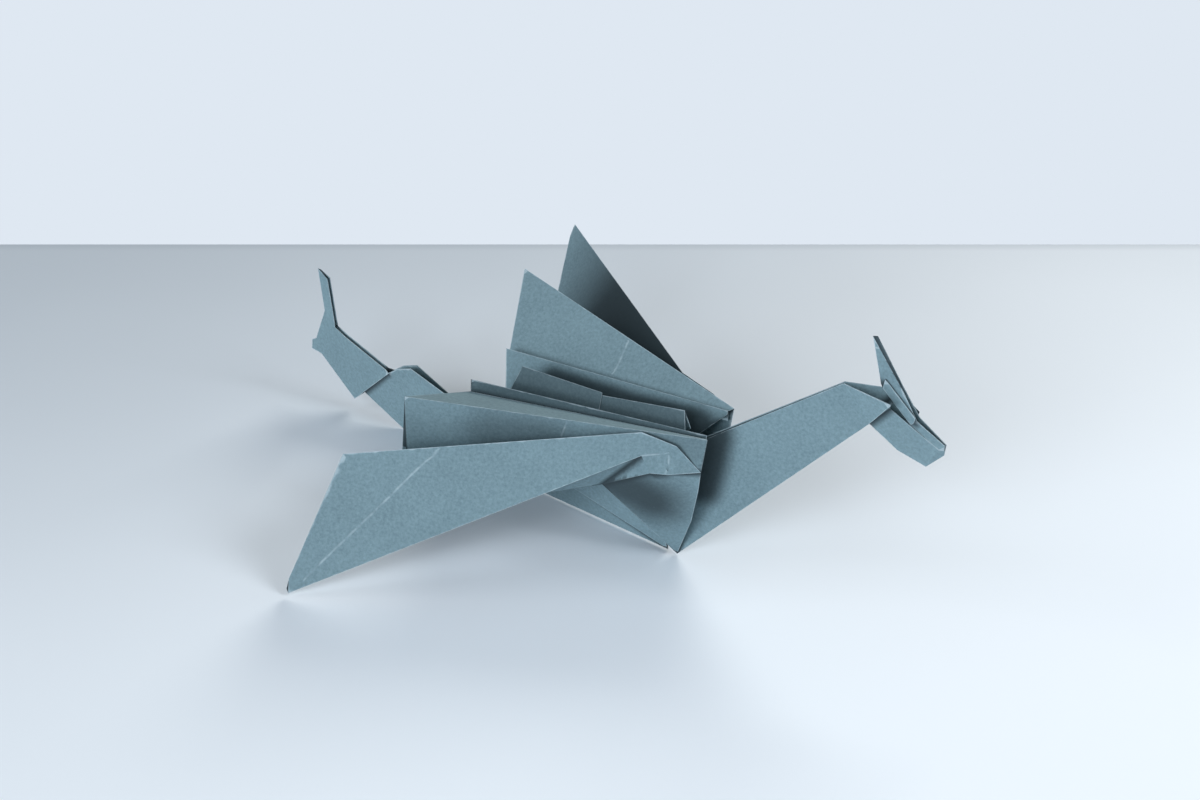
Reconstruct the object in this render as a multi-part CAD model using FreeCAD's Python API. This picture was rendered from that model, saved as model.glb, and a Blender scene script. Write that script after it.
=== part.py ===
import FreeCAD, Part

import itertools
import math
import os

# Origami dragon folded from one square sheet of paper, in millimetres.
# +X points to the head, +Y to the dragon's left, +Z up.
# While it is being laid out, the origin is the point under the chest where the keel touches the table.
# Each panel of the sheet is flat between its creases, and the finished sheet is one closed solid.

# ---- paper ----
PAPER_THICKNESS = 0.20     # sheet thickness, with the soft fibres of the surface
MITRE_LIMIT = 0.60         # how far a fold may reach past its crease line

# ---- back: the two ridges beside the channel, and the channel between them ----
RIDGE_HEIGHT = 41.4        # height of both ridges above the table
RIDGE_FRONT_X = 10.0       # front ends of the ridges, ahead of the keel point
RIDGE_REAR_X = -54.0       # rear ends of the ridges
RIDGE_FRONT_Y = 6.4        # half the gap between the ridges at the front
RIDGE_REAR_Y = 9.0         # half the gap between the ridges at the rear
RIM_DROP_REAR = 2.6        # the first pleat's rim outside each ridge lies this far below it, at the rear
RIM_DROP_FRONT = 0.0       # the same at the front
GROOVE_WIDTH = 0.9         # sideways distance from a ridge to that rim
GROOVE_DEPTH_REAR = 3.4    # the narrow groove between them reaches this far below the ridge's rear end
GROOVE_DEPTH_FRONT = 2.0   # the same at the front
CHANNEL_FLOOR_Z = 23.0     # height of the two troughs along the channel
CHANNEL_FLOOR_Y = 5.0      # half the distance between the troughs
FLOOR_FRONT_X = -8.0       # front ends of the troughs
FLOOR_REAR_X = -53.0       # rear ends of the troughs
FLOOR_REAR_SHIFT = 2.0     # those ends lie this much to the left, towards the tail
WALL_REAR_Y = 8.0          # the body's rear edges have a corner here
WALL_REAR_DROP = 12.4      # this far below the ridges

# ---- tent: the low fold that stands along the middle of the channel ----
TENT_REAR_X = -44.0
TENT_SEAM_X = -21.8        # the rear half laps over the front half here
TENT_LAP = 2.6             # length of that lap
TENT_FRONT_X = 1.4
TENT_REAR_RISE = 2.0       # heights of its top edge above the ridges
TENT_SEAM_RISE = 0.6
TENT_FRONT_RISE = 1.4
TENT_LAP_DROP = 1.0        # how far the front half starts below the rear half
TENT_FOOT_X = 2.4          # lower corner of the tent's open front end
TENT_FOOT_Y = 1.7
TENT_FOOT_DROP = 4.2       # this far below the ridges

# ---- chest: the folded front edge on each side, from the shoulder to the keel point ----
SHOULDER_X = 11.0          # top corner of the front edge
SHOULDER_Y = 8.0
SHOULDER_RISE = 0.4        # above the ridges
CREST_X = 9.2              # point where the wing's folds meet the front edge
CREST_Y = 8.6
CREST_DROP = 9.1           # below the ridges
BREAST_X = 8.8             # the front edge bends a little here
BREAST_Y = 7.7
BREAST_DROP = 14.9
THROAT_X = 5.9             # and here, above the keel point
THROAT_Y = 4.6
THROAT_Z = 14.8

# ---- wings: each crease runs back from the chest, given as length, sweep and rise ----
# Sweep is the angle outwards from straight back, rise is the angle above level, in degrees.
# The corners round the shoulder are given ahead, out and up from the ridges' height.
# The right wing is spread low, the left one raised.
RIDGE_CREASE = 74.6        # outer ridge of the first pleat
VALLEY_CREASE = 75.2       # valley between the pleat and the outer panel
LEADING_EDGE = 95.0        # leading edge of the outer panel
RIGHT_WING = {
    "ridge": (17.2, 3.5),
    "valley": (14.6, -4.5),
    "root": (24.3, -6.3),
    "edge": (31.2, -22.6),
    "root crease": 73.0,       # length of the crease along the inner edge of the outer panel
    "root start": (-4.0, 13.5, 1.0),
    "edge start": (-3.6, 14.5, -3.9),
    "knuckle": (3.8, 11.0, -2.0),
    "crook": (1.9, 11.5, -4.0),
    "hem rear": (-1.4, 13.7, -9.3),
    "hem front": (3.0, 12.6, -9.1),
    "flank": (-14.4, 13.6, -16.5),
}
LEFT_WING = {
    "ridge": (16.6, 10.2),
    "valley": (21.0, 0.0),
    "root": (34.2, -15.8),
    "edge": (45.6, -0.8),
    "root crease": 64.0,
    "root start": (-15.5, 18.8, -4.2),
    "edge start": (-6.6, 15.4, 2.2),
    "knuckle": (-1.4, 13.1, -7.9),
    "crook": (3.5, 13.0, -0.3),
    "hem rear": (-0.3, 18.1, -8.3),
    "hem front": (6.5, 17.4, -7.5),
    "flank": (-13.1, 23.2, -14.2),
}
TIP_BLUNT = 3.2            # width of the blunt end of a wing tip
TIP_SKEW = 0.3             # how far that end leans outwards, as a slope
HEM_ALONG = 0.40           # corner of the hem under the wing, as a share of the leading edge
HEM_ACROSS = 0.20          # and of the trailing edge
HEM_GAP = 1.2              # distance of that corner below the outer panel
HEM_STEP = (-0.6, 1.2, -0.8)   # the body's side starts this far ahead of, inside and above the hem's edge

# ---- neck, head and horn ----
NECK_LENGTH = 71.0         # closed lower edge
NECK_RISE = 48.1           # its angle above level, degrees
NECK_TUCK = (2.8, -7.6)    # where the open upper edges start: ahead, and up from the ridges' height
NECK_SPREAD = 0.5          # half the gap between the two upper edges
NECK_END_SPREAD = 4.0      # the same at the neck's open end, which holds the head
# Outlines in the middle plane, ahead of and above the upper end of the closed edge.
NECK_TOP = (-6.5, 8.8)
NECK_END = (6.0, 8.2)      # top corner of the neck's end
JAW_BEND = (7.7, -5.0)
JAW_CHIN = (14.8, -7.5)
JAW_NOSE = (18.3, -3.7)
JAW_HINGE = (17.2, -2.2)
JAW_BACK = (5.2, 5.9)
JAW_SPREAD = 1.6
HORN_TIP = (-0.2, 22.5)
HORN_NAPE = (2.4, 10.2)
HORN_CHEEK = (10.6, 2.9)
HORN_BROW = (18.6, -1.2)
HORN_EAR = (6.9, 11.6)
HORN_TEMPLE = (11.6, 3.9)
HORN_SPREAD = 1.0
HORN_HEM_TOP = (3.2, 12.5) # the hem along the horn's lower edge is turned back over its outside
HORN_HEM_LOW = (11.3, 4.9)
HORN_HEM_GAP = 0.6         # distance of that hem from the horn

# ---- tail ----
TAIL_BEND = 11.5           # the tail leaves the body this much to the left, degrees
TAIL_KEEL = 97.5           # straight lower edge that lies on the table
TAIL_START = 3.0           # front end of that edge, behind the keel point
TAIL_UNDER_X = -6.0        # upper front corner, under the channel
TAIL_UNDER_Y = 4.5
TAIL_UNDER_Z = 17.0
TAIL_LIFT = 16.6           # lower edge of the part that rises to the crimp
TAIL_LIFT_RISE = 24.0      # its angle above level, degrees
TAIL_WEB_SPREAD = 4.0      # half the gap between the two upper edges, at the web from the body
TAIL_SPREAD = 1.3          # the same along the rest of that part
# Outlines in the tail's own upright plane, behind and above the rear end of the keel.
TAIL_WEB_RIGHT = (-26.2, 19.7)     # where the web from the body's rear edge meets the right upper edge
TAIL_WEB_LEFT = (-18.4, 13.6)      # and the left one, which starts lower
TAIL_HUMP = (-5.7, 22.3)
TAIL_CROWN = (-0.3, 20.2)
TAIL_TOP_END = (3.5, 17.4)
# The same behind and above the upper end of the rising part, from the crimp to the tip.
CRIMP_LOW = (4.5, -4.1)    # the crimp's fold tucks in here, and its outer edge starts
CRIMP_HIGH = (-9.9, 11.0)
MID_TAIL_HEEL = (17.4, 6.9)
MID_TAIL_BACK = (21.2, 7.0)
MID_TAIL_HEEL_TOP = (20.6, 9.9)
MID_TAIL_END = (18.8, 11.2)
MID_TAIL_MID = (6.1, 16.3)
MID_TAIL_TOP = (9.9, 18.0)
MID_TAIL_SPREAD = 0.6      # half the gap between its upper edges
TAIL_TIP_BEND = (13.9, 21.5)
TAIL_TIP_FRONT = (11.4, 33.2)
TAIL_TIP = (15.0, 35.1)
TAIL_TIP_SPREAD = 0.5      # the same along the tip


# ---------------------------------------------------------------- vectors

def vector(x, y, z):
    return FreeCAD.Vector(x, y, z)


def run_back(start, length, sweep, rise, side):
    """The rear end of a crease that starts at a point and runs back, outwards and up."""
    sweep = math.radians(sweep)
    rise = math.radians(rise)
    level = length * math.cos(rise)
    return start + vector(-level * math.cos(sweep), side * level * math.sin(sweep), length * math.sin(rise))


def head_point(outline, y=0):
    """A point of the neck's end or of the head, from its outline and its offset to the left."""
    rise = math.radians(NECK_RISE)
    ahead, up = outline
    return vector(NECK_LENGTH * math.cos(rise) + ahead, y, NECK_LENGTH * math.sin(rise) + up)


def in_tail(along, y, z):
    """A point of the tail, from its distance back, its offset to the left and its height."""
    bend = math.radians(TAIL_BEND)
    ahead = -along * math.cos(bend) + y * math.sin(bend)
    left = along * math.sin(bend) + y * math.cos(bend)
    return vector(ahead, left, z)


def tail_point(outline, y=0):
    """A point of the tail's outline round the rear end of its keel."""
    back, up = outline
    return in_tail(TAIL_KEEL + back, y, up)


def tail_end_point(outline, y=0):
    """A point of the tail's outline behind the part that rises to the crimp."""
    back, up = outline
    lift = math.radians(TAIL_LIFT_RISE)
    return tail_point((TAIL_LIFT * math.cos(lift) + back, TAIL_LIFT * math.sin(lift) + up), y)


# ---------------------------------------------------------------- corners of the panels

def middle_points():
    """Corners that lie in the middle plane of the body or of the tail, shared by both sides."""
    return {
        "keel": vector(0, 0, 0),
        "neck end low": head_point((0, 0)),
        "jaw bend": head_point(JAW_BEND),
        "chin": head_point(JAW_CHIN),
        "nose": head_point(JAW_NOSE),
        "horn tip": head_point(HORN_TIP),
        "nape": head_point(HORN_NAPE),
        "tent rear": vector(TENT_REAR_X, 0, RIDGE_HEIGHT + TENT_REAR_RISE),
        "tent seam": vector(TENT_SEAM_X, 0, RIDGE_HEIGHT + TENT_SEAM_RISE),
        "tent lap": vector(TENT_SEAM_X - TENT_LAP, 0, RIDGE_HEIGHT + TENT_SEAM_RISE - TENT_LAP_DROP),
        "tent front": vector(TENT_FRONT_X, 0, RIDGE_HEIGHT + TENT_FRONT_RISE),
        "tail start": in_tail(TAIL_START, 0, 0),
        "tail keel end": tail_point((0, 0)),
        "tail lift end": tail_end_point((0, 0)),
        "crimp low": tail_end_point(CRIMP_LOW),
        "heel": tail_end_point(MID_TAIL_HEEL),
        "mid tail back": tail_end_point(MID_TAIL_BACK),
        "heel top": tail_end_point(MID_TAIL_HEEL_TOP),
        "mid tail end": tail_end_point(MID_TAIL_END),
        "tail tip bend": tail_end_point(TAIL_TIP_BEND),
        "tail tip": tail_end_point(TAIL_TIP),
    }


def body_points(side):
    """Corners of the back, the channel and the chest on one side."""
    rim_front_y = RIDGE_FRONT_Y + GROOVE_WIDTH
    rim_rear_y = RIDGE_REAR_Y + GROOVE_WIDTH
    groove_front_y = RIDGE_FRONT_Y + GROOVE_WIDTH / 2
    groove_rear_y = RIDGE_REAR_Y + GROOVE_WIDTH / 2
    return {
        "ridge front": vector(RIDGE_FRONT_X, side * RIDGE_FRONT_Y, RIDGE_HEIGHT),
        "ridge rear": vector(RIDGE_REAR_X, side * RIDGE_REAR_Y, RIDGE_HEIGHT),
        "groove front": vector(RIDGE_FRONT_X, side * groove_front_y, RIDGE_HEIGHT - GROOVE_DEPTH_FRONT),
        "groove rear": vector(RIDGE_REAR_X, side * groove_rear_y, RIDGE_HEIGHT - GROOVE_DEPTH_REAR),
        "rim front": vector(RIDGE_FRONT_X, side * rim_front_y, RIDGE_HEIGHT - RIM_DROP_FRONT),
        "rim rear": vector(RIDGE_REAR_X, side * rim_rear_y, RIDGE_HEIGHT - RIM_DROP_REAR),
        "floor front": vector(FLOOR_FRONT_X, side * CHANNEL_FLOOR_Y, CHANNEL_FLOOR_Z),
        "floor seam": vector(TENT_SEAM_X - TENT_LAP / 2, side * CHANNEL_FLOOR_Y, CHANNEL_FLOOR_Z),
        "floor rear": vector(FLOOR_REAR_X, side * CHANNEL_FLOOR_Y + FLOOR_REAR_SHIFT, CHANNEL_FLOOR_Z),
        "wall rear": vector(RIDGE_REAR_X, side * WALL_REAR_Y, RIDGE_HEIGHT - WALL_REAR_DROP),
        "tent foot": vector(TENT_FOOT_X, side * TENT_FOOT_Y, RIDGE_HEIGHT - TENT_FOOT_DROP),
        "shoulder": vector(SHOULDER_X, side * SHOULDER_Y, RIDGE_HEIGHT + SHOULDER_RISE),
        "crest": vector(CREST_X, side * CREST_Y, RIDGE_HEIGHT - CREST_DROP),
        "breast": vector(BREAST_X, side * BREAST_Y, RIDGE_HEIGHT - BREAST_DROP),
        "throat": vector(THROAT_X, side * THROAT_Y, THROAT_Z),
    }


def wing_points(side, wing, body):
    """Corners of one wing, at the ends of its creases."""
    shoulder = {}
    for name in ("root start", "edge start", "knuckle", "crook", "hem rear", "hem front", "flank"):
        ahead, out, up = wing[name]
        shoulder[name] = vector(ahead, side * out, RIDGE_HEIGHT + up)
    ahead, inside, up = HEM_STEP
    step = vector(ahead, -side * inside, up)
    root = shoulder["root start"]
    edge = shoulder["edge start"]
    root_rear = run_back(root, wing["root crease"], *wing["root"], side)
    tip = run_back(edge, LEADING_EDGE, *wing["edge"], side)
    trailing = (root_rear - tip).normalize()
    outwards = (tip - edge).normalize()
    below = (edge - tip).cross(root_rear - tip).normalize() * side
    return {
        "pleat rear": run_back(body["shoulder"], RIDGE_CREASE, *wing["ridge"], side),
        "valley rear": run_back(body["crest"], VALLEY_CREASE, *wing["valley"], side),
        "root rear": root_rear,
        "wing tip": tip,
        "wing tip top": tip + (trailing + outwards * TIP_SKEW).normalize() * TIP_BLUNT,
        "side front": shoulder["hem front"] + step,
        "side rear": shoulder["hem rear"] + step,
        "hem middle": tip + (edge - tip) * HEM_ALONG + (root_rear - tip) * HEM_ACROSS + below * HEM_GAP,
        **shoulder,
    }


def leg_points(side):
    """Corners of the open upper edges of the neck, the head and the tail on one side."""
    tuck_x, tuck_rise = NECK_TUCK
    tail_web = TAIL_WEB_RIGHT if side < 0 else TAIL_WEB_LEFT
    return {
        "tuck": vector(tuck_x, side * NECK_SPREAD, RIDGE_HEIGHT + tuck_rise),
        "neck top": head_point(NECK_TOP, side * NECK_SPREAD),
        "neck end": head_point(NECK_END, side * NECK_END_SPREAD),
        "jaw back": head_point(JAW_BACK, side * JAW_SPREAD),
        "jaw hinge": head_point(JAW_HINGE, side * JAW_SPREAD / 2),
        "cheek": head_point(HORN_CHEEK, side * HORN_SPREAD),
        "brow": head_point(HORN_BROW, side * HORN_SPREAD / 3),
        "temple": head_point(HORN_TEMPLE, side * HORN_SPREAD),
        "ear": head_point(HORN_EAR, side * HORN_SPREAD / 2),
        "hem top": head_point(HORN_HEM_TOP, side * HORN_HEM_GAP),
        "hem low": head_point(HORN_HEM_LOW, side * (HORN_SPREAD + HORN_HEM_GAP)),
        "tail under": vector(TAIL_UNDER_X, side * TAIL_UNDER_Y, TAIL_UNDER_Z),
        "tail web": tail_point(tail_web, side * TAIL_WEB_SPREAD),
        "tail hump": tail_point(TAIL_HUMP, side * TAIL_SPREAD),
        "tail crown": tail_point(TAIL_CROWN, side * TAIL_SPREAD),
        "tail top end": tail_point(TAIL_TOP_END, side * TAIL_SPREAD),
        "crimp high": tail_end_point(CRIMP_HIGH, side * MID_TAIL_SPREAD),
        "mid tail mid": tail_end_point(MID_TAIL_MID, side * MID_TAIL_SPREAD),
        "mid tail top": tail_end_point(MID_TAIL_TOP, side * TAIL_TIP_SPREAD),
        "tail tip front": tail_end_point(TAIL_TIP_FRONT, side * TAIL_TIP_SPREAD),
    }


# ---------------------------------------------------------------- panels

# Corners of each panel on the dragon's right side, anticlockwise seen from the sheet's outer face.
PANELS = {
    "outer wing": ["wing tip", "edge start", "root start", "root rear", "wing tip top"],
    "wing hem": ["wing tip", "hem middle", "edge start"],
    "wing hem front": ["hem middle", "flank", "edge start"],
    "hem strip rear": ["edge start", "flank", "hem rear"],
    "hem strip front": ["edge start", "hem rear", "hem front", "crook"],
    "shoulder top": ["root start", "edge start", "crook", "knuckle"],
    "shoulder front": ["knuckle", "crook", "crest"],
    "hem strip end": ["crook", "hem front", "crest"],
    "wing root front": ["crest", "valley rear", "root start", "knuckle"],
    "wing root": ["valley rear", "root rear", "root start"],
    "pleat outer": ["shoulder", "pleat rear", "valley rear"],
    "pleat outer foot": ["crest", "shoulder", "valley rear"],
    "pleat inner": ["pleat rear", "shoulder", "rim front", "rim rear"],
    "pleat lip": ["rim rear", "rim front", "groove front", "groove rear"],
    "ridge lip": ["groove rear", "groove front", "ridge front", "ridge rear"],
    "wall": ["ridge rear", "ridge front", "floor front", "floor seam", "floor rear", "wall rear"],
    "tent rear half": ["floor rear", "floor seam", "tent seam", "tent rear"],
    "tent lap": ["tent seam", "floor seam", "tent lap"],
    "tent front half": ["tent lap", "floor seam", "floor front", "tent foot", "tent front"],
    "hem return": ["crest", "hem front", "hem rear", "flank", "side rear", "side front"],
    "side": ["crest", "side front", "side rear", "flank", "keel", "throat", "breast"],
    "chest lining": ["tuck", "crest", "breast", "throat", "keel"],
    "neck": ["keel", "neck end low", "neck end", "neck top", "tuck"],
    "neck lining": ["neck end", "neck end low", "jaw back"],
    "jaw": ["jaw back", "neck end low", "jaw bend", "chin", "nose", "jaw hinge"],
    "horn base": ["nose", "brow", "temple", "cheek", "jaw hinge"],
    "horn": ["cheek", "temple", "ear", "horn tip", "nape"],
    "horn hem": ["cheek", "nape", "hem top", "hem low"],
    "tail web": ["wall rear", "floor rear", "tail web"],
    "tail root": ["tail start", "tail web", "floor rear", "tail under"],
    "tail": [
        "tail keel end", "tail lift end", "tail top end", "tail crown", "tail hump", "tail web", "tail start",
    ],
    "tail crimp front": ["tail top end", "tail lift end", "crimp low"],
    "tail crimp": ["tail top end", "crimp low", "crimp high"],
    "mid tail": [
        "crimp high", "crimp low", "heel", "mid tail back",
        "heel top", "mid tail end", "mid tail top", "mid tail mid",
    ],
    "tail tip": ["mid tail top", "mid tail end", "tail tip bend", "tail tip", "tail tip front"],
}


# ---------------------------------------------------------------- from panels to triangles

def newell_normal(corners):
    """The average normal of a panel that may be slightly warped."""
    total = vector(0, 0, 0)
    for start, end in zip(corners, corners[1:] + corners[:1]):
        total += start.cross(end)
    return total.normalize()


def cut_ears(names, points, middle):
    """Triangles that fill one panel, found by clipping its ears.

    No triangle lies wholly in the middle plane, where the other side's panel would cover it.
    """
    normal = newell_normal([points[name] for name in names])
    left = list(names)
    triangles = []
    while len(left) > 3:
        ears = []
        for i, name in enumerate(left):
            before, after = left[i - 1], left[(i + 1) % len(left)]
            if {before, name, after} <= middle or set(left) - {name} <= middle:
                continue
            if is_ear(before, name, after, left, points, normal):
                ears.append((points[before].distanceToPoint(points[after]), i))
        i = min(ears)[1]
        triangles.append((left[i - 1], left[i], left[(i + 1) % len(left)]))
        del left[i]
    triangles.append(tuple(left))
    return triangles


def is_ear(before, name, after, left, points, normal):
    """Whether the corner is convex and its triangle holds no other corner of the panel."""
    a, b, c = points[before], points[name], points[after]
    if (b - a).cross(c - b).dot(normal) <= 0:
        return False
    for other in left:
        if other in (before, name, after):
            continue
        p = points[other]
        sides = [(end - start).cross(p - start).dot(normal) for start, end in ((a, b), (b, c), (c, a))]
        if min(sides) >= 0:
            return False
    return True


def fold_sheet():
    """Corners of the whole sheet, and its triangles, anticlockwise seen from the outer face."""
    points = middle_points()
    middle = set(points)
    triangles = []
    for side, label, wing in ((-1, "right ", RIGHT_WING), (1, "left ", LEFT_WING)):
        own = body_points(side)
        own.update(wing_points(side, wing, own))
        own.update(leg_points(side))
        points.update({label + name: point for name, point in own.items()})
        for panel in PANELS.values():
            names = [name if name in middle else label + name for name in panel]
            if side > 0:
                names.reverse()
            triangles += cut_ears(names, points, middle)
    return points, triangles


# ---------------------------------------------------------------- thickness

def inside_direction(normals):
    """The direction that leans as evenly as it can to every normal round a corner.

    Either two or three of the normals hold that direction, so each pair and each three is tried.
    """
    tries = [vector(*normals[0])]
    for a, b in itertools.combinations(normals, 2):
        tries.append(a + b)
    for a, b, c in itertools.combinations(normals, 3):
        across = (b - a).cross(c - a)
        tries += [across, across * -1]
    tries = [direction.normalize() for direction in tries if direction.Length > 1e-6]
    return max(tries, key=lambda direction: min(direction.dot(normal) for normal in normals))


def mitres(points, triangles):
    """How far each corner moves from the middle of the sheet to its outer face."""
    around = {}
    for triangle in triangles:
        a, b, c = (points[name] for name in triangle)
        normal = (b - a).cross(c - a).normalize()
        for name in triangle:
            around.setdefault(name, []).append(normal)
    moves = {}
    for name, normals in around.items():
        direction = inside_direction(normals)
        lean = min(direction.dot(normal) for normal in normals)
        reach = PAPER_THICKNESS / 2 / lean if lean > 0 else MITRE_LIMIT
        moves[name] = direction * min(reach, MITRE_LIMIT)
    return moves


def raw_edges(triangles):
    """The sheet's own edges: the sides of triangles that no other triangle shares."""
    sides = {(t[i], t[(i + 1) % 3]) for t in triangles for i in range(3)}
    return sorted(side for side in sides if (side[1], side[0]) not in sides)


def thicken(points, triangles):
    """One closed solid: the outer face, the inner face and the narrow faces along the raw edges."""
    moves = mitres(points, triangles)
    outer = {name: points[name] + moves[name] for name in moves}
    inner = {name: points[name] - moves[name] for name in moves}
    corners = []
    for a, b, c in triangles:
        corners.append((outer[a], outer[b], outer[c]))
        corners.append((inner[c], inner[b], inner[a]))
    for a, b in raw_edges(triangles):
        corners.append((outer[b], outer[a], inner[a]))
        corners.append((outer[b], inner[a], inner[b]))
    faces = [Part.Face(Part.makePolygon([a, b, c, a])) for a, b, c in corners]
    shell = Part.makeShell(faces)
    shell.sewShape()
    solid = Part.makeSolid(Part.Shell(shell.Faces))
    if solid.Volume < 0:
        solid.reverse()
    return solid


def main():
    points, triangles = fold_sheet()
    solid = thicken(points, triangles)
    box = solid.BoundBox
    centre = box.Center
    solid.translate(vector(-centre.x, -centre.y, -box.ZMin))
    if not solid.isValid():
        raise ValueError("the sheet is not a valid solid")
    os.makedirs("parts", exist_ok=True)
    solid.exportStep("parts/folded_sheet.step")
    print("triangles", len(triangles), "volume", round(solid.Volume, 1))
    print("size", round(box.XLength, 2), round(box.YLength, 2), round(box.ZLength, 2))


main()
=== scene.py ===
import math

import bpy
import numpy as np
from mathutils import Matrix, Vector


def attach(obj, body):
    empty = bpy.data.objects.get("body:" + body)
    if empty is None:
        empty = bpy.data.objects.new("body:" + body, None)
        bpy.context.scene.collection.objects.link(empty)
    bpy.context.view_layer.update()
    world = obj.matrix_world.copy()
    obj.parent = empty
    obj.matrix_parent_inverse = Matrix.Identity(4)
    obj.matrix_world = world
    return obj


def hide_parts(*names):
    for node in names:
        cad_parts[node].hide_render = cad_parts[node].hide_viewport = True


bl_info = {
    "name": "Folded Paper Dragon",
    "version": (1, 0, 0),
    "blender": (4, 5, 0),
    "location": "3D View > Sidebar > Paper Dragon",
    "description": "Builds the visible sheet of a folded paper dragon, its paper finish and its studio",
    "category": "Object",
}

# The folded sheet is one CAD node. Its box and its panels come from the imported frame.
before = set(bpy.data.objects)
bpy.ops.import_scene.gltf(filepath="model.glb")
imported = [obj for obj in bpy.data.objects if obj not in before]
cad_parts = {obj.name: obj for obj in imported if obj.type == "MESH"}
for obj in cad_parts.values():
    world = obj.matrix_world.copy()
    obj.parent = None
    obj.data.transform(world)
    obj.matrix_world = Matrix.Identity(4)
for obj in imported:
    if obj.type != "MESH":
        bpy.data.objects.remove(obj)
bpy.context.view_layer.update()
SHEET_NODE = "folded_sheet"

MM = 0.001

KEYS_PER_METRE = 1e6    # corners that round to the same millionth of a metre are one corner
TINY_AREA = 1e-12       # square metres; keeps the division by a triangle's area safe
TINY_SQUARE = 1e-18     # square metres; keeps the division by a line's squared length safe
FAR = 1.0               # metres; more than any distance on the sheet
ON_FOLD = 1e-7          # metres; a corner nearer to a fold than this lies on it
OTHER_FACE = 1e3        # metres, added where a face points the other way


# ------------------------------------------------------------------ colours and nodes

def linear(text, alpha=1.0):
    """A colour written as sRGB hex, turned to linear values."""
    channels = [int(text.lstrip("#")[i:i + 2], 16) / 255 for i in (0, 2, 4)]
    return [c / 12.92 if c <= 0.04045 else ((c + 0.055) / 1.055) ** 2.4 for c in channels] + [alpha]


def add(tree, kind, settings=(), inputs=()):
    """Adds one node with its settings, and sets or links its inputs."""
    node = tree.nodes.new(kind)
    for name, value in dict(settings).items():
        setattr(node, name, value)
    for name, value in dict(inputs).items():
        socket = node.inputs[name]
        if isinstance(value, bpy.types.NodeSocket):
            tree.links.new(value, socket)
        else:
            socket.default_value = value
    return node


def ramp(tree, value, low, high, start=0.0, end=1.0, smooth=False):
    """Takes a value from the range low to high over to the range start to end, held at both ends."""
    settings = {"interpolation_type": "SMOOTHSTEP"} if smooth else {}
    inputs = {"Value": value, "From Min": low, "From Max": high, "To Min": start, "To Max": end}
    return add(tree, "ShaderNodeMapRange", settings, inputs).outputs[0]


def blend(tree, share, under, over):
    """Mixes the colour over into the colour under by a share."""
    return add(tree, "ShaderNodeMix", {"data_type": "RGBA"}, {0: share, 6: under, 7: over}).outputs[2]


def noise(tree, place, size, detail=3.0, roughness=0.5):
    """Soft noise between 0 and 1, with patches of the given size in the units of the place."""
    inputs = {"Vector": place, "Scale": 1 / size, "Detail": detail, "Roughness": roughness}
    return add(tree, "ShaderNodeTexNoise", {}, inputs).outputs["Fac"]


# ------------------------------------------------------------------ the sheet's panels

def merged_corners(node):
    """Corners and triangles of a CAD node, with the corners that share a place made one."""
    mesh = node.data
    mesh.calc_loop_triangles()
    corners = np.empty(len(mesh.vertices) * 3, np.float32)
    mesh.vertices.foreach_get("co", corners)
    corners = corners.reshape(-1, 3).astype(float)
    triangles = np.empty(len(mesh.loop_triangles) * 3, np.int32)
    mesh.loop_triangles.foreach_get("vertices", triangles)
    keys = np.round(corners * KEYS_PER_METRE).astype(np.int64)
    _, first, back = np.unique(keys, axis=0, return_index=True, return_inverse=True)
    return corners[first], back.reshape(-1)[triangles].reshape(-1, 3)


def face_normals(corners, triangles):
    """Unit normal of each triangle: the cross product of two of its sides."""
    a, b, c = (corners[triangles[:, i]] for i in range(3))
    normals = np.cross(b - a, c - a)
    return normals / np.maximum(np.linalg.norm(normals, axis=1, keepdims=True), TINY_AREA)


def folds_between(corners, triangles):
    """For each edge: its two corners, its two triangles, the turn between them, and whether it is a ridge.

    The turn is the angle between the two normals. An edge is a ridge where the second triangle
    lies behind the first one's plane, and a valley where it lies in front of it.
    """
    sides = np.concatenate([triangles[:, [0, 1]], triangles[:, [1, 2]], triangles[:, [2, 0]]])
    owners = np.tile(np.arange(len(triangles)), 3)
    keys = np.sort(sides, axis=1)
    order = np.lexsort((keys[:, 1], keys[:, 0]))
    keys, owners = keys[order], owners[order]
    first = np.flatnonzero(np.all(keys[:-1] == keys[1:], axis=1))
    edges, left, right = keys[first], owners[first], owners[first + 1]
    normals = face_normals(corners, triangles)
    turn = np.degrees(np.arccos(np.clip(np.sum(normals[left] * normals[right], axis=1), -1, 1)))
    centre = corners[triangles[right]].mean(axis=1)
    ridge = np.sum((centre - corners[edges[:, 0]]) * normals[left], axis=1) < 0
    return edges, left, right, turn, ridge


def panels_of(triangles, left, right, flat):
    """Gives one number to all triangles joined across flat edges, by passing the lowest number on."""
    label = np.arange(len(triangles))
    a, b = left[flat], right[flat]
    while True:
        low = np.minimum(label[a], label[b])
        new = label.copy()
        np.minimum.at(new, a, low)
        np.minimum.at(new, b, low)
        if np.array_equal(new, label):
            return label
        label = new


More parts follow.
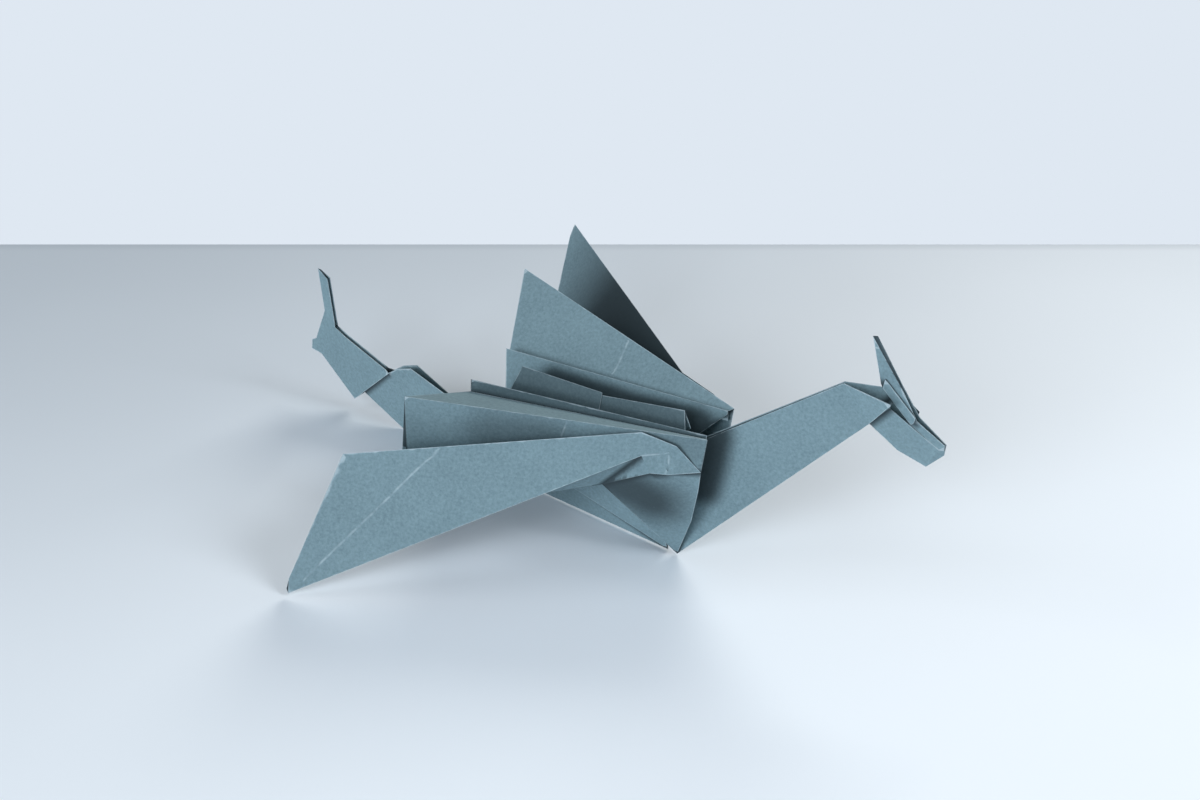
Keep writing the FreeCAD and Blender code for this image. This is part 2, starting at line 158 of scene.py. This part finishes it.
def split_long_sides(corners, triangles, owner, step):
    """Halves every side longer than the step, until none is left. Neighbours still share their corners."""
    while True:
        sides = np.stack([triangles, np.roll(triangles, -1, axis=1)], axis=2)
        keys, back = np.unique(np.sort(sides, axis=2).reshape(-1, 2), axis=0, return_inverse=True)
        length = np.linalg.norm(corners[keys[:, 0]] - corners[keys[:, 1]], axis=1)
        long = length > step
        if not long.any():
            return corners, triangles, owner
        middle = np.full(len(keys), -1)
        middle[long] = len(corners) + np.arange(long.sum())
        corners = np.concatenate([corners, corners[keys[long]].mean(axis=1)])
        middle = middle[back.reshape(-1)].reshape(-1, 3)
        count = (middle >= 0).sum(axis=1)
        made, owners = [triangles[count == 0]], [owner[count == 0]]
        for cuts, turn in ((1, 0), (1, 1), (1, 2), (2, 0), (2, 1), (2, 2), (3, 0)):
            rolled = np.roll(middle, -turn, axis=1)
            lead = {1: rolled[:, 0] >= 0, 2: rolled[:, 2] < 0, 3: count == 3}[cuts]
            pick = (count == cuts) & lead
            (a, b, c), (p, q, r) = np.roll(triangles[pick], -turn, axis=1).T, rolled[pick].T
            parts = {
                1: [(a, p, c), (p, b, c)],
                2: [(p, b, q), (a, p, q), (a, q, c)],
                3: [(a, p, r), (p, b, q), (r, q, c), (p, q, r)],
            }[cuts]
            made += [np.stack(part, axis=1) for part in parts]
            owners += [owner[pick]] * len(parts)
        triangles, owner = np.concatenate(made), np.concatenate(owners)


def distance_to_lines(points, starts, ends):
    """Distance from each point to the nearest of some straight pieces."""
    if len(starts) == 0:
        return np.full(len(points), FAR)
    along = ends - starts
    squares = np.maximum(np.sum(along * along, axis=1), TINY_SQUARE)
    foot = np.einsum("pi,ei->pe", points, along) - np.sum(starts * along, axis=1)
    foot = np.clip(foot / squares, 0, 1)
    gap = points[:, None, :] - starts[None] - foot[:, :, None] * along[None]
    return np.sqrt(np.min(np.sum(gap * gap, axis=2), axis=1))


WAVE_SEED = 7
WAVE_SHARES = (1.0, 0.6, 0.35)      # length and height of each wave, as shares of the longest one's


def paper_waves(points, height, length):
    """A soft vector field: for each axis, a sum of sine waves that run in different directions."""
    chance = np.random.default_rng(WAVE_SEED)
    field = np.zeros_like(points)
    for share in WAVE_SHARES:
        for axis in range(3):
            heading = chance.normal(size=3)
            heading /= np.linalg.norm(heading)
            phase = chance.uniform(0, 2 * math.pi)
            wave = np.sin(points @ heading * 2 * math.pi / (length * share) + phase)
            field[:, axis] += height * share * wave / 2
    return field


def relaxed(points, triangles, held, rounds):
    """Rounds off the bend across a panel: each free corner moves halfway to the mean of its neighbours.

    The held corners, on the folds and the cut edges, stay where they are.
    """
    sides = np.concatenate([triangles[:, [0, 1]], triangles[:, [1, 2]], triangles[:, [2, 0]]])
    sides = np.unique(np.sort(sides, axis=1), axis=0)
    a, b = np.concatenate([sides, sides[:, ::-1]]).T
    count = np.bincount(a, minlength=len(points))[:, None]
    for _ in range(rounds):
        totals = [np.bincount(a, weights=points[b, axis], minlength=len(points)) for axis in range(3)]
        mean = np.stack(totals, axis=1) / count
        points = np.where(held[:, None], points, (points + mean) / 2)
    return points


# Faint creases in single panels: a point on the panel, the way it faces, and the two ends of the crease,
# in millimetres.
OLD_CREASES = [
    # right wing: across the outer panel, and across the pleat's outer face
    ((-34.0, -61.4, 15.6), (0.35, -0.87, 0.34), (-42.9, -69.5, 4.0), (-15.8, -45.3, 37.6)),
    ((10.2, -29.6, 41.6), (0.28, -0.95, -0.16), (11.3, -29.7, 44.3), (9.2, -29.4, 38.9)),
    # left wing: across the pleat's inner face
    ((9.9, 2.3, 45.1), (-0.05, -0.66, 0.75), (10.0, 6.0, 48.4), (9.8, -1.5, 41.9)),
    # right wing's hem: along its upper edge, and across its front part
    ((31.2, -25.2, 38.5), (0.48, -0.85, 0.21), (29.6, -26.1, 37.6), (35.4, -23.3, 38.4)),
    ((35.2, -23.3, 37.2), (0.51, -0.81, 0.28), (35.5, -23.2, 38.4), (34.8, -24.0, 33.0)),
]

# Painted shade: places where the paper lies close behind another layer or under the wing, where shade falls,
# and its colour is
# painted darker: a point on the panel, the way it faces, the two ends of the line where the painted shade is
# darkest, how far the full darkness reaches from that line, where it has faded out, all in millimetres, and
# the darkness there.
PAINTED_SHADE_PLACES = [
    # left wing's outer panel, from its root
    ((-15.9, 41.0, 37.8), (-0.59, -0.57, 0.58), (14.0, 14.0, 43.0), (5.0, 22.0, 40.0), 18.0, 74.0, 0.95),
    # right side of the body, under the wing
    ((27.5, -22.5, 24.2), (0.25, -0.91, -0.32), (22.0, -25.0, 27.0), (30.0, -22.0, 21.0), 2.0, 15.0, 0.9),
    # right side of the neck, beside the chest's edge
    ((43.1, -12.1, 30.7), (0.02, -1.0, -0.02), (42.5, -12.0, 41.0), (40.0, -12.0, 23.0), 2.0, 7.5, 0.88),
    # outer face of the right ridge, above its groove
    ((11.3, -19.5, 41.8), (0.04, -0.97, 0.25), (-60.0, -19.0, 41.0), (60.0, -22.0, 41.0), 20.0, 30.0, 0.55),
    # far wall of the channel, behind the tent
    ((4.1, -4.1, 40.4), (-0.04, -0.99, 0.14), (-6.0, -4.0, 37.0), (60.0, -6.0, 37.0), 2.0, 5.5, 0.8),
    # outer face of the right pleat, in the middle and at the front
    ((-0.5, -32.4, 38.6), (0.28, -0.94, -0.17), (-6.0, -34.0, 38.0), (3.0, -31.5, 38.5), 2.0, 13.0, 0.4),
    ((39.8, -20.9, 40.3), (0.25, -0.97, 0.0), (34.0, -22.0, 40.0), (46.0, -19.0, 40.0), 2.0, 9.0, 0.3),
    # right face of the tent, behind and before its lap
    ((-0.1, -12.3, 41.2), (0.02, -0.97, 0.25), (-40.0, -12.0, 41.0), (60.0, -12.0, 41.0), 20.0, 30.0, 0.5),
    ((25.0, -12.2, 41.3), (-0.02, -0.97, 0.25), (-40.0, -12.0, 41.0), (60.0, -12.0, 41.0), 20.0, 30.0, 0.5),
]


def panel_at(corners, triangles, owner, panel, place, facing):
    """The triangles of the panel that holds a place and faces a given way."""
    reach = np.linalg.norm(corners[triangles].mean(axis=1) - np.array(place) * MM, axis=1)
    reach += OTHER_FACE * (face_normals(corners, triangles) @ np.array(facing) < 0)
    return np.flatnonzero(panel[owner] == panel[owner[np.argmin(reach)]])


def smooth_step(part):
    """A rise from 0 to 1 that is level at both ends: three times the square less twice the cube."""
    part = np.clip(part, 0, 1)
    return part * part * (3 - 2 * part)


def painted_shade_shares(corners, triangles, owner, panel, places):
    """The painted shade at each corner of each triangle: full near a place's line, then a smooth step to
    none.
    """
    shares = np.zeros((len(triangles), 3), np.float32)
    for place, facing, start, end, full, faded, share in places:
        chosen = panel_at(corners, triangles, owner, panel, place, facing)
        points = corners[triangles[chosen]].reshape(-1, 3) / MM
        gap = distance_to_lines(points, np.array([start]), np.array([end]))
        dark = share * smooth_step((faded - gap) / (faded - full))
        shares[chosen] = np.maximum(shares[chosen], dark.reshape(-1, 3))
    return shares


def crease_marks(corners, triangles, owner, panel, creases):
    """Distance across each old crease, and the share along it, at each corner of each triangle.

    Both are straight-line functions over a flat panel, so they stay exact between corners.
    Each triangle takes the nearest crease of its panel; triangles of other panels hold a large distance.
    """
    marks = np.zeros((len(triangles), 3, 3), np.float32)
    marks[:, :, 0] = FAR / MM
    normals = face_normals(corners, triangles)
    centres = corners[triangles].mean(axis=1) / MM
    nearest = np.full(len(triangles), FAR / MM)
    for place, facing, start, end in creases:
        start, end = np.array(start), np.array(end)
        chosen = panel_at(corners, triangles, owner, panel, place, facing)
        gap = distance_to_lines(centres[chosen], start[None], end[None])
        nearer = gap < nearest[chosen]
        chosen = chosen[nearer]
        nearest[chosen] = gap[nearer]
        length = np.linalg.norm(end - start)
        along = (end - start) / length
        across = np.cross(normals[chosen].mean(axis=0), along)
        across /= np.linalg.norm(across)
        offset = corners[triangles[chosen]] / MM - start
        marks[chosen, :, 0] = offset @ across
        marks[chosen, :, 1] = offset @ along / length
    return marks


SHARP_SHARE = 0.7       # an edge that turns less than this share of the flat angle is shaded smooth


def sheet_mesh(node, settings):
    """The visible sheet: the CAD panels, divided finely and given the slight waves of real paper.

    A panel whose corners don't lie in one plane is rounded off between its folds. Then each corner moves
    by a soft wave field, faded out near the panel's edges, so that both faces of the paper move together
    and every fold stays where it is. Point attributes hold the distance, in millimetres, to the nearest
    pressed ridge and to the nearest pressed valley of the panel. Corner attributes hold the old creases
    and the share of painted shade in the deep places.
    """
    corners, triangles = merged_corners(node)
    edges, left, right, turn, ridge = folds_between(corners, triangles)
    folded = turn > settings.flat_angle
    panel = panels_of(triangles, left, right, ~folded)
    fine, small, owner = split_long_sides(corners, triangles, np.arange(len(triangles)), settings.mesh_step)
    pressed = turn > settings.pressed_angle
    to_fold, to_ridge, to_valley = np.full((3, len(fine)), FAR)
    kinds = ((to_fold, folded), (to_ridge, folded & pressed & ridge), (to_valley, folded & pressed & ~ridge))
    for label in np.unique(panel):
        used = np.unique(small[panel[owner] == label])
        border = (panel[left] == label) | (panel[right] == label)
        for reach, kind in kinds:
            lines = corners[edges[border & kind]]
            gap = distance_to_lines(fine[used], lines[:, 0], lines[:, 1])
            reach[used] = np.minimum(reach[used], gap)
    bent = relaxed(fine, small, to_fold < ON_FOLD, settings.bend_rounds)
    fade = smooth_step(to_fold / settings.wave_fade)[:, None]
    moved = bent + fade * paper_waves(fine, settings.wave_height, settings.wave_length)
    marks = crease_marks(fine, small, owner, panel, OLD_CREASES)
    deep = painted_shade_shares(fine, small, owner, panel, PAINTED_SHADE_PLACES)

    mesh = bpy.data.meshes.new(settings.piece_name)
    mesh.from_pydata(moved.tolist(), [], small.tolist())
    for name, kind, domain, key, values in (
        ("to_ridge", "FLOAT", "POINT", "value", to_ridge / MM),
        ("to_valley", "FLOAT", "POINT", "value", to_valley / MM),
        ("old_crease", "FLOAT_VECTOR", "CORNER", "vector", marks),
        ("deep_share", "FLOAT", "CORNER", "value", deep),
    ):
        attribute = mesh.attributes.new(name, kind, domain)
        attribute.data.foreach_set(key, values.reshape(-1).astype(np.float32))
    mesh.shade_smooth()
    mesh.set_sharp_from_angle(angle=math.radians(settings.flat_angle * SHARP_SHARE))
    mesh.validate()
    mesh.update()
    return mesh


# ------------------------------------------------------------------ the paper

# Sizes of the paper's marks, in millimetres.
CLOUD_SIZE = 14.0
GRAIN_SIZE = 0.8
TOOTH_SIZE = 0.35
TOOTH_HEIGHT = 0.03
TOOTH_SHARE = 0.35
SPECK_SPACING = 3.2
SPECK_CORE = 0.064
SPECK_RADIUS = 0.192
RUB_PATCH = 2.2
RUB_AND_HIGHLIGHT_NARROW = 0.08
VALLEY_SHADE_REACH = 2.1
CREASE_CORE = 0.05
CREASE_REACH = 0.4

# Ranges that most values of the noises lie in.
NOISE_RANGE = (0.3, 0.7)
TONE_RANGE = (0.3, 1.5)
PATCH_RANGE = (0.38, 0.62)

# How strongly each mark colours the paper, from 0 to 1.
CLOUD_SHARE = 0.8
SPECK_SHARE = 0.45
RUB_AND_HIGHLIGHT_SHARE = 0.5
VALLEY_SHADE_SHARE = 0.95
CREASE_FAINT = 0.08
CREASE_CLEAR = 0.36


def dyed_kraft_paper(settings):
    """Dyed kraft paper, pressed from wood fibres: matt, faintly mottled, with short fibres that catch
    the light, a few dark specks, painted shade deep between its layers and in its valley folds, a pale line
    along each ridge and cut edge, partly rubbed paper and partly painted highlight, and pale old creases."""
    material = bpy.data.materials.new("dyed_kraft_paper")
    material.use_nodes = True
    tree = material.node_tree
    tree.nodes.clear()
    place = add(tree, "ShaderNodeTexCoord").outputs["Object"]
    in_mm = add(tree, "ShaderNodeVectorMath", {"operation": "SCALE"}, {0: place, "Scale": 1 / MM}).outputs[0]

    # Mottling of the pulp in soft clouds.
    clouds = noise(tree, in_mm, CLOUD_SIZE)
    # Short fibres seen as fine grain. Real ones are finer and would not show.
    grain = ramp(tree, noise(tree, in_mm, GRAIN_SIZE, roughness=0.7), *NOISE_RANGE)
    tone = {0: clouds, 1: CLOUD_SHARE, 2: grain}
    tone = add(tree, "ShaderNodeMath", {"operation": "MULTIPLY_ADD"}, tone).outputs[0]
    tone = ramp(tree, tone, *TONE_RANGE)
    colour = blend(tree, tone, linear(settings.low_colour), linear(settings.high_colour))

    # Painted shade: the paper's colour is painted darker where it lies close behind another layer and little
    # light reaches it.
    deep = add(tree, "ShaderNodeAttribute", {"attribute_name": "deep_share"}).outputs["Fac"]
    colour = blend(tree, deep, colour, linear(settings.painted_shade_colour))

    # Specks of bark, one every few millimetres. The cell pattern gives distances in shares of the spacing.
    cells = {"Vector": in_mm, "Scale": 1 / SPECK_SPACING, "Randomness": 1.0}
    cells = add(tree, "ShaderNodeTexVoronoi", {}, cells).outputs["Distance"]
    core, radius = SPECK_CORE / SPECK_SPACING, SPECK_RADIUS / SPECK_SPACING
    speck = ramp(tree, cells, core, radius, SPECK_SHARE, 0.0)
    colour = blend(tree, speck, colour, linear(settings.speck_colour))

    # A pale line along each ridge and cut edge, uneven along its length: partly rubbed paper, partly painted
    # highlight where the edge catches the light.
    rub = noise(tree, in_mm, RUB_PATCH)
    width = ramp(tree, rub, *NOISE_RANGE, RUB_AND_HIGHLIGHT_NARROW, settings.rub_and_highlight_width / MM)
    ridge = add(tree, "ShaderNodeAttribute", {"attribute_name": "to_ridge"}).outputs["Fac"]
    rub_and_highlight = ramp(tree, ridge, 0.0, width, RUB_AND_HIGHLIGHT_SHARE, 0.0, smooth=True)
    colour = blend(tree, rub_and_highlight, colour, linear(settings.worn_and_highlight_colour))

    # Painted shade: the bottom of each valley fold is painted dark, where shade falls into the fold.
    valley = add(tree, "ShaderNodeAttribute", {"attribute_name": "to_valley"}).outputs["Fac"]
    pressed = ramp(tree, valley, 0.0, VALLEY_SHADE_REACH, VALLEY_SHADE_SHARE, 0.0, smooth=True)
    colour = blend(tree, pressed, colour, linear(settings.painted_shade_colour))

    # Old creases: a pale, patchy line where a fold was made and opened again. The attribute holds the
    # distance across the crease and the share along it, and the line ends where that share leaves 0 to 1.
    old = add(tree, "ShaderNodeAttribute", {"attribute_name": "old_crease"}).outputs["Vector"]
    old = add(tree, "ShaderNodeSeparateXYZ", {}, {0: old}).outputs
    across = add(tree, "ShaderNodeMath", {"operation": "ABSOLUTE"}, {0: old[0]}).outputs[0]
    line = ramp(tree, across, CREASE_CORE, CREASE_REACH, 1.0, 0.0, smooth=True)
    within = add(tree, "ShaderNodeMath", {"operation": "COMPARE"}, {0: old[1], 1: 0.5, 2: 0.5}).outputs[0]
    patchy = ramp(tree, rub, *PATCH_RANGE, CREASE_FAINT, CREASE_CLEAR)
    for share in (within, patchy):
        line = add(tree, "ShaderNodeMath", {"operation": "MULTIPLY"}, {0: line, 1: share}).outputs[0]
    colour = blend(tree, line, colour, linear(settings.worn_and_highlight_colour))

    # Tooth of the paper: fibre ends that stand about a hundredth of a millimetre proud, which is about a
    # third of the height named above.
    tooth = noise(tree, in_mm, TOOTH_SIZE)
    relief = add(tree, "ShaderNodeMath", {"operation": "ADD"}, {0: tooth, 1: grain}).outputs[0]
    bump = add(tree, "ShaderNodeBump", {}, {
        "Strength": TOOTH_SHARE, "Distance": TOOTH_HEIGHT * MM, "Height": relief})
    shader = add(tree, "ShaderNodeBsdfPrincipled", {}, {
        "Base Color": colour, "Roughness": 0.86, "IOR": 1.5, "Specular IOR Level": 0.3,
        "Normal": bump.outputs[0]})
    add(tree, "ShaderNodeOutputMaterial", {}, {"Surface": shader.outputs[0]})
    return material


# ------------------------------------------------------------------ the studio

# The table top, in metres. Its rows are finer near the back edge, where the line of painted shade lies.
BOARD_HALF_WIDTH = 2.2
BOARD_DEPTH = 3.0
FINE_ROWS_END = 0.05
WIDE_ROWS_START = 0.1
BOARD_COLUMNS, FINE_ROWS, WIDE_ROWS = 45, 26, 30

# Painted shade on the board: darker towards the far left corner, where less lamp light falls, in soft
# patches.
SHADE_PATCH_SIZE = 1 / 6                   # metres across a patch of grey
SHADE_PATCH_SHARE = 0.2
SHADE_SLOPE = (2.0, -1.6, 0.0)       # how fast the grey fades, in shares per metre
SHADE_RANGE = (-0.5, 0.5)
# Painted shade in a soft line along the board's back edge, where the board meets the wall behind it.
CORNER_SHADE_WIDTH = 6.0               # millimetres
CORNER_SHADE_SHARE = 0.4


def painted_board(settings):
    """The table top: matt painted board, pale and faintly cool, with painted shade towards its far left
    corner and a soft line of painted shade at its back edge.
    """
    material = bpy.data.materials.new("matt_painted_board")
    material.use_nodes = True
    tree = material.node_tree
    tree.nodes.clear()
    place = add(tree, "ShaderNodeTexCoord").outputs["Object"]
    # Painted shade: the board is painted a little darker towards the far left corner, where less lamp light
    # falls.
    shade_patches = noise(tree, place, SHADE_PATCH_SIZE, detail=2.0)
    slope = add(tree, "ShaderNodeVectorMath", {"operation": "DOT_PRODUCT"}, {0: place, 1: SHADE_SLOPE})
    slope = add(tree, "ShaderNodeMath", {"operation": "MULTIPLY_ADD"}, {
        0: shade_patches, 1: SHADE_PATCH_SHARE, 2: slope.outputs["Value"]}).outputs[0]
    slope = ramp(tree, slope, *SHADE_RANGE, smooth=True)
    colour = blend(tree, slope, linear(settings.board_painted_shade), linear(settings.board_high))
    # Painted shade along the back edge, where the board meets the wall behind it.
    edge = add(tree, "ShaderNodeAttribute", {"attribute_name": "from_back"}).outputs["Fac"]
    line = ramp(tree, edge, 0.0, CORNER_SHADE_WIDTH, CORNER_SHADE_SHARE, 0.0, smooth=True)
    colour = blend(tree, line, colour, linear(settings.board_corner_shade))
    shader = add(tree, "ShaderNodeBsdfPrincipled", {}, {
        "Base Color": colour, "Roughness": 0.6, "Specular IOR Level": 0.2})
    add(tree, "ShaderNodeOutputMaterial", {}, {"Surface": shader.outputs[0]})
    return material


def board_mesh(settings):
    """The table top: a level grid. Its columns stand along the back edge and its rows run to the front."""
    ahead = Vector(settings.camera_aim)
    ahead = np.array([ahead.x, ahead.y]) / math.hypot(ahead.x, ahead.y)
    beside = np.array([ahead[1], -ahead[0]])
    centre = np.array(settings.keel_point)
    across = np.linspace(-BOARD_HALF_WIDTH, BOARD_HALF_WIDTH, BOARD_COLUMNS)
    fine = np.linspace(0, FINE_ROWS_END, FINE_ROWS)
    back = np.concatenate([fine, np.linspace(WIDE_ROWS_START, BOARD_DEPTH, WIDE_ROWS)])
    u, v = np.meshgrid(across, back, indexing="ij")
    ground = centre + u[..., None] * beside + (settings.board_back - v)[..., None] * ahead
    points = np.dstack([ground, np.zeros_like(u)]).reshape(-1, 3)
    row = np.arange(len(across) * len(back)).reshape(len(across), len(back))
    quads = np.stack([row[:-1, :-1], row[:-1, 1:], row[1:, 1:], row[1:, :-1]], axis=2).reshape(-1, 4)
    mesh = bpy.data.meshes.new("table_board")
    mesh.from_pydata(points.tolist(), [], quads.tolist())
    attribute = mesh.attributes.new("from_back", "FLOAT", "POINT")
    attribute.data.foreach_set("value", (v.reshape(-1) / MM).astype(np.float32))
    mesh.update()
    if mesh.polygons[0].normal.z < 0:
        mesh.flip_normals()
    return mesh


def pale_room(settings):
    """The room: even light from all round, and a pale wall where the camera looks past the board."""
    world = bpy.data.worlds.new("pale_room")
    world.use_nodes = True
    tree = world.node_tree
    tree.nodes.clear()
    light = add(tree, "ShaderNodeBackground", {}, {
        "Color": linear(settings.room_colour), "Strength": settings.room_strength})
    wall = add(tree, "ShaderNodeBackground", {}, {"Color": linear(settings.wall_colour), "Strength": 1.0})
    path = add(tree, "ShaderNodeLightPath").outputs
    seen = path["Is Camera Ray"]
    for kind in ("Is Glossy Ray", "Is Transmission Ray"):
        seen = add(tree, "ShaderNodeMath", {"operation": "MAXIMUM"}, {0: seen, 1: path[kind]}).outputs[0]
    both = add(tree, "ShaderNodeMixShader", {}, {0: seen, 1: light.outputs[0], 2: wall.outputs[0]})
    add(tree, "ShaderNodeOutputWorld", {}, {"Surface": both.outputs[0]})
    return world


# The lamps: each one's name, its place round the keel point and its height above the board, both in
# degrees, its distance and its side in metres, the setting that holds its power, and its colour.
LAMPS = [
    ("front_lamp", 270, 30, 1.0, 0.4, "front_power", "#F0F7FF"),
    ("low_lamp", 245, 12, 2.0, 0.8, "low_power", "#F0F7FF"),
    ("back_lamp", 90, 35, 1.0, 0.5, "back_power", "#FFFCF6"),
    ("left_lamp", 210, 35, 1.0, 0.4, "left_power", "#F4F9FF"),
    ("right_lamp", 0, 40, 1.0, 0.4, "right_power", "#F4F9FF"),
]
LAMP_AIM_HEIGHT = 0.02      # metres above the board, where all lamps point


def soft_lamp(name, place, target, size, power, colour):
    """A square soft box that faces the target."""
    data = bpy.data.lights.new(name, "AREA")
    data.shape = "SQUARE"
    data.size = size
    data.energy = power
    data.color = linear(colour)[:3]
    lamp = bpy.data.objects.new(name, data)
    lamp.location = place
    lamp.rotation_euler = (Vector(target) - Vector(place)).to_track_quat("-Z", "Y").to_euler()
    bpy.context.scene.collection.objects.link(lamp)
    return lamp


# ------------------------------------------------------------------ settings

def length_setting(name, description, default):
    """A length setting, given in millimetres and shown in the scene's unit."""
    return bpy.props.FloatProperty(
        name=name, description=description, default=default * MM, subtype="DISTANCE", precision=5)


def colour_setting(name, description, default):
    """A colour setting, written as sRGB hex."""
    return bpy.props.StringProperty(name=name, description=description + ", as hex", default=default)


def power_setting(name, default):
    """A lamp's power setting, in watts."""
    return bpy.props.FloatProperty(
        name=name, description="Power of the " + name.lower() + ", in watts", default=default)


class SheetSettings(bpy.types.PropertyGroup):
    """Sizes and colours of the folded sheet."""

    piece_name: bpy.props.StringProperty(
        name="Piece name", description="Name of the visible sheet", default="paper_dragon")
    mesh_step: length_setting("Mesh step", "Longest side of a mesh triangle", 1.8)
    flat_angle: bpy.props.FloatProperty(
        name="Flat angle", default=18.6,
        description="Triangles that turn less than this, in degrees, are one panel")
    # A fold that turns more than this gets the pale line on a ridge, partly painted highlight, and painted
    # shade in a valley.
    pressed_angle: bpy.props.FloatProperty(
        name="Pressed angle", default=35.0,
        description="A fold that turns more than this, in degrees, is rubbed or pressed dark")
    bend_rounds: bpy.props.IntProperty(
        name="Bend rounds", description="How often a panel's inner corners are evened out", default=40)
    wave_height: length_setting("Wave height", "How far a panel bows from flat", 0.28)
    wave_length: length_setting("Wave length", "Length of those waves", 46)
    wave_fade: length_setting("Wave fade", "Distance from a fold over which the waves begin", 9)
    # Widest pale line along a ridge, which is partly rubbed paper and partly painted highlight.
    rub_and_highlight_width: length_setting("Rubbed width", "Widest pale line along a fold", 0.32)
    low_colour: colour_setting("Low colour", "Paper in the hollows of its grain", "#647B83")
    high_colour: colour_setting("Light colour", "Paper on its fibres", "#7A939B")
    # Colour of the painted shade deep between layers and in valley folds.
    painted_shade_colour: colour_setting("Deep colour", "Paper deep between layers and in valley folds", "#2B373C")
    # Pale colour of old creases, and of ridges and cut edges, where it is partly rubbed paper and partly
    # painted highlight.
    worn_and_highlight_colour: colour_setting("Worn colour", "Rubbed folds, cut edges and old creases", "#BCCBD2")
    speck_colour: colour_setting("Speck colour", "Specks of bark", "#55666F")


class StudioSettings(bpy.types.PropertyGroup):
    """Camera, board, room and lamps."""

    keel_point: bpy.props.FloatVectorProperty(
        name="Keel point", description="Where the chest's keel touches the board", size=2,
        default=(32.8 * MM, -11.7 * MM), subtype="XYZ", unit="LENGTH")
    camera_place: bpy.props.FloatVectorProperty(
        name="Camera place", description="Where the camera stands", size=3,
        default=(172.01 * MM, -327.9 * MM, 253.59 * MM), subtype="XYZ", unit="LENGTH")
    camera_aim: bpy.props.FloatVectorProperty(
        name="Camera aim", description="Direction in which the camera looks", size=3,
        default=(-0.38915, 0.76374, -0.51504), subtype="DIRECTION")
    lens: bpy.props.FloatProperty(name="Lens", description="Focal length in millimetres", default=49.5)
    board_back: length_setting("Board depth", "From the keel point to the board's back edge", 184)
    # Colour of the board in its painted shade, at the far left corner.
    board_painted_shade: colour_setting("Board shade", "Board in its greyed corner", "#BDC6CE")
    board_high: colour_setting("Board light", "Board elsewhere", "#F2F9FF")
    # Colour of the painted shade along the board's back edge.
    board_corner_shade: colour_setting("Back line", "Line at the back edge", "#9FA8B1")
    wall_colour: colour_setting("Wall", "Wall behind the board", "#DFE8F2")
    room_colour: colour_setting("Room light", "The room's light", "#F2F7FC")
    room_strength: bpy.props.FloatProperty(
        name="Room strength", description="Strength of the room's light", default=0.03)
    front_power: power_setting("Front lamp", 2.9)
    low_power: power_setting("Low lamp", 22.0)
    back_power: power_setting("Back lamp", 5.1)
    left_power: power_setting("Left lamp", 2.0)
    right_power: power_setting("Right lamp", 5.0)


# ------------------------------------------------------------------ operators

SENSOR_WIDTH = 36.0         # millimetres
CLIP_RANGE = (0.01, 20.0)   # metres


class DRAGON_OT_fold_sheet(bpy.types.Operator):
    """Build the visible sheet in place of the CAD solid"""

    bl_idname = "dragon.fold_sheet"
    bl_label = "Fold the sheet"

    def execute(self, context):
        settings = context.scene.dragon_sheet
        mesh = sheet_mesh(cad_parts[SHEET_NODE], settings)
        piece = bpy.data.objects.new(settings.piece_name, mesh)
        context.scene.collection.objects.link(piece)
        mesh.materials.append(dyed_kraft_paper(settings))
        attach(piece, "root")
        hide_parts(SHEET_NODE)
        return {"FINISHED"}


class DRAGON_OT_set_studio(bpy.types.Operator):
    """Lay the board and place the camera, the room and the lamps"""

    bl_idname = "dragon.set_studio"
    bl_label = "Set the studio"

    def execute(self, context):
        settings = context.scene.dragon_studio
        scene = context.scene
        board = bpy.data.objects.new("table_board", board_mesh(settings))
        board.data.materials.append(painted_board(settings))
        scene.collection.objects.link(board)

        data = bpy.data.cameras.new("view_camera")
        data.lens = settings.lens
        data.sensor_width = SENSOR_WIDTH
        data.clip_start, data.clip_end = CLIP_RANGE
        camera = bpy.data.objects.new("view_camera", data)
        camera.location = settings.camera_place
        camera.rotation_euler = Vector(settings.camera_aim).to_track_quat("-Z", "Y").to_euler()
        scene.collection.objects.link(camera)
        scene.camera = camera

        scene.world = pale_room(settings)
        centre = Vector((*settings.keel_point, LAMP_AIM_HEIGHT))
        for name, around, height, away, size, power, colour in LAMPS:
            around, height = math.radians(around), math.radians(height)
            level = math.cos(height)
            way = Vector((math.cos(around) * level, math.sin(around) * level, math.sin(height)))
            soft_lamp(name, centre + way * away, centre, size, getattr(settings, power), colour)
        scene.view_settings.view_transform = "Standard"
        return {"FINISHED"}


class DRAGON_PT_sidebar(bpy.types.Panel):
    """Lists the dragon's steps and settings"""

    bl_idname = "DRAGON_PT_sidebar"
    bl_label = "Paper Dragon"
    bl_space_type = "VIEW_3D"
    bl_region_type = "UI"
    bl_category = "Paper Dragon"

    def draw(self, context):
        layout = self.layout
        for group, operator in (
            (context.scene.dragon_sheet, DRAGON_OT_fold_sheet),
            (context.scene.dragon_studio, DRAGON_OT_set_studio),
        ):
            box = layout.box()
            for name in group.bl_rna.properties.keys():
                if name not in ("rna_type", "name"):
                    box.prop(group, name)
            box.operator(operator.bl_idname)


CLASSES = (SheetSettings, StudioSettings, DRAGON_OT_fold_sheet, DRAGON_OT_set_studio, DRAGON_PT_sidebar)


def register():
    for each in CLASSES:
        bpy.utils.register_class(each)
    bpy.types.Scene.dragon_sheet = bpy.props.PointerProperty(type=SheetSettings)
    bpy.types.Scene.dragon_studio = bpy.props.PointerProperty(type=StudioSettings)


def unregister():
    del bpy.types.Scene.dragon_studio
    del bpy.types.Scene.dragon_sheet
    for each in reversed(CLASSES):
        bpy.utils.unregister_class(each)


def main():
    register()
    bpy.ops.dragon.fold_sheet()
    bpy.ops.dragon.set_studio()


if __name__ == "__main__":
    main()
